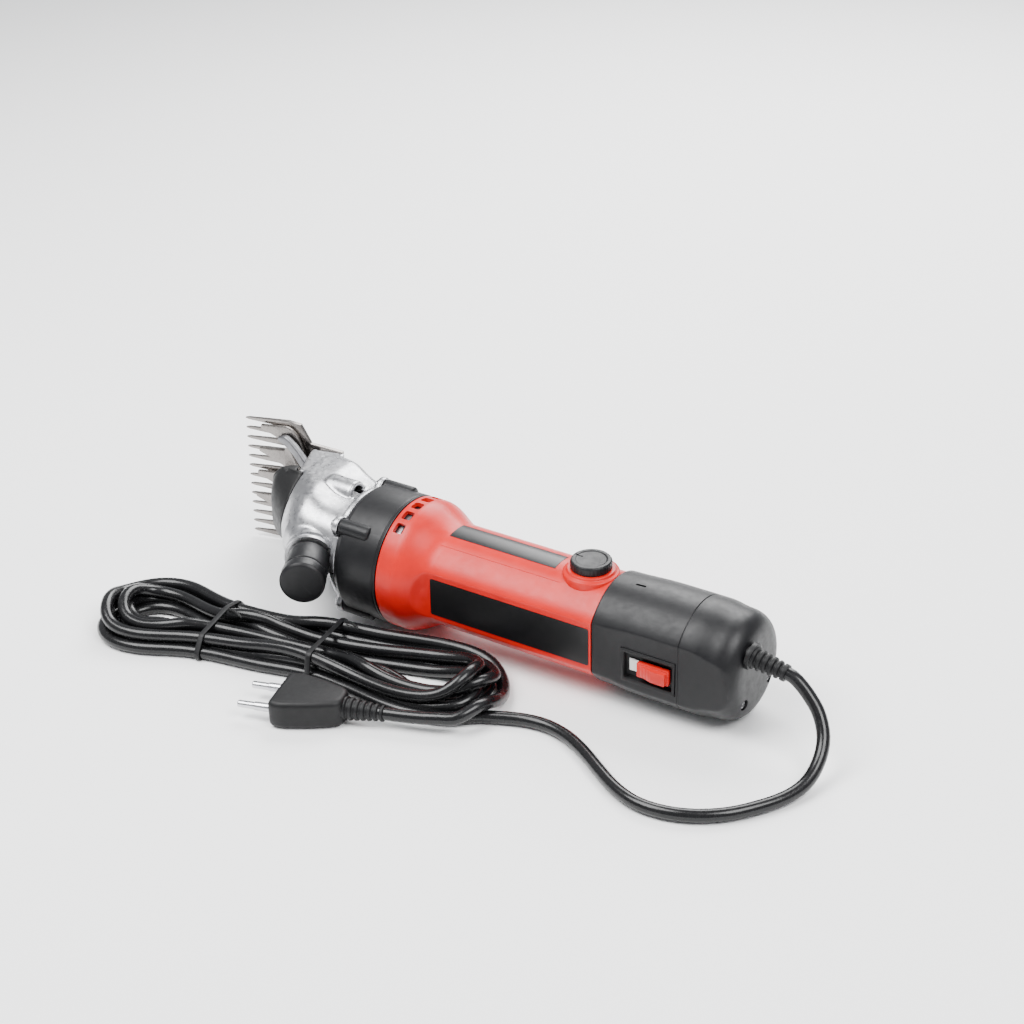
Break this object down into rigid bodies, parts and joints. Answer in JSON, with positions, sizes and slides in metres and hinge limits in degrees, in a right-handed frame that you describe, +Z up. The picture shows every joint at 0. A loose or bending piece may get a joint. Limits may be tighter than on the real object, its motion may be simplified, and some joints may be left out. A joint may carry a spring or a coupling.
{
  "type": "electric sheep shears",
  "caption": "Corded electric sheep shears: comb and cutter head on a geared motor in a round handle, with tension knob, speed dial, slide switch, coiled cord and plug.",
  "frame": {"origin": "centre of the tool's own bounding box, cord left out, on the surface it lies on", "axes": "+X along the tool from the comb to the tail, +Y from the top of the tool to its underside, +Z up: the tool lies on its left side"},
  "size_m": [0.4258, 0.1796, 0.0799],
  "materials": {
    "red_plastic": "satin moulded",
    "black_plastic": "satin moulded",
    "white_plastic": "satin moulded",
    "die_cast": "satin die-cast",
    "blade_steel": "ground",
    "bright_steel": "turned and plated",
    "plain_steel": "turned",
    "copper": "enamelled winding",
    "laminations": "varnished",
    "carbon": "pressed",
    "board_green": "lacquered",
    "cable_black": "smooth"
  },
  "bodies": {
    "tool": {"handle_shell": "red_plastic", "rear_cover": "black_plastic", "gearbox_ring": "black_plastic", "head_casting": "die_cast", "nose_guard": "black_plastic", "comb": "blade_steel", "comb_screw_1": "bright_steel", "comb_screw_2": "bright_steel", "cover_screw_1": "bright_steel", "cover_screw_2": "bright_steel", "flange_screw_1": "bright_steel", "flange_screw_2": "bright_steel", "flange_screw_3": "bright_steel", "flange_screw_4": "bright_steel", "pivot_post": "plain_steel", "bearing_plate": "die_cast", "front_bearing": "bright_steel", "rear_bearing": "bright_steel", "bearing_bracket": "black_plastic", "stator_core": "laminations", "field_coil_1": "copper", "field_coil_2": "copper", "brush_holder_1": "copper", "brush_holder_2": "copper", "carbon_brush_1": "carbon", "carbon_brush_2": "carbon", "switch_bezel": "black_plastic", "switch_index": "white_plastic", "switch_body": "black_plastic", "potentiometer": "black_plastic", "speed_board": "board_green", "terminal_block": "white_plastic", "strain_relief": "cable_black", "power_cord": "cable_black", "cord_hank": "cable_black", "cord_tie_1": "cable_black", "cord_tie_2": "cable_black", "plug_lead": "cable_black", "plug_body": "black_plastic", "plug_pin_1": "bright_steel", "plug_pin_2": "bright_steel"},
    "armature": {"armature_shaft": "plain_steel", "armature_core": "laminations", "commutator": "copper", "cooling_fan": "black_plastic", "pinion_gear": "plain_steel"},
    "crank": {"crank_shaft": "plain_steel", "crank_gear": "plain_steel", "crank_roller": "plain_steel"},
    "fork": {"fork_body": "plain_steel", "fork_arm_left": "plain_steel", "fork_arm_right": "plain_steel", "cutter": "blade_steel"},
    "tension_pin": {"tension_pin": "plain_steel"},
    "tension_knob": {"tension_knob": "black_plastic"},
    "speed_dial": {"speed_dial": "black_plastic", "dial_shaft": "plain_steel"},
    "switch_slider": {"switch_slider": "red_plastic"}
  },
  "joints": [
    {"name": "armature_spin", "type": "hinge", "parent": "tool", "child": "armature", "pos_m": [0.02477, 0.0041, 0.03518], "axis": [0.9995, 0, -0.0314], "continuous": true},
    {"name": "crank_spin", "type": "hinge", "parent": "tool", "child": "crank", "pos_m": [-0.04819, 0.0201, 0.03747], "axis": [0.9995, 0, -0.0314], "continuous": true},
    {"name": "fork_swing", "type": "hinge", "parent": "tool", "child": "fork", "pos_m": [-0.08431, 0.02302, 0.03861], "axis": [0.1907, -0.9816, -0.006], "range_deg": [0, 16]},
    {"name": "tension_feed", "type": "slide", "parent": "tool", "child": "tension_pin", "axis": [0.48, -0.8771, -0.0151], "range_m": [0, 0.002]},
    {"name": "tension_turn", "type": "hinge", "parent": "tension_pin", "child": "tension_knob", "pos_m": [-0.07218, -0.0485, 0.03823], "axis": [0.48, -0.8771, -0.0151], "range_deg": [0, 720]},
    {"name": "speed_dial_turn", "type": "hinge", "parent": "tool", "child": "speed_dial", "pos_m": [0.08028, 0.0041, 0.06645], "axis": [0.0314, 0, 0.9995], "range_deg": [-135, 135]},
    {"name": "switch_slide", "type": "slide", "parent": "tool", "child": "switch_slider", "axis": [-0.9995, 0, 0.0314], "range_m": [0, 0.0045]}
  ],
  "couplings": [
    {"joint": "crank_spin", "follows": "armature_spin", "ratio": -0.33333},
    {"joint": "tension_turn", "follows": "tension_feed", "rad_per_m": 6283.2}
  ]
}
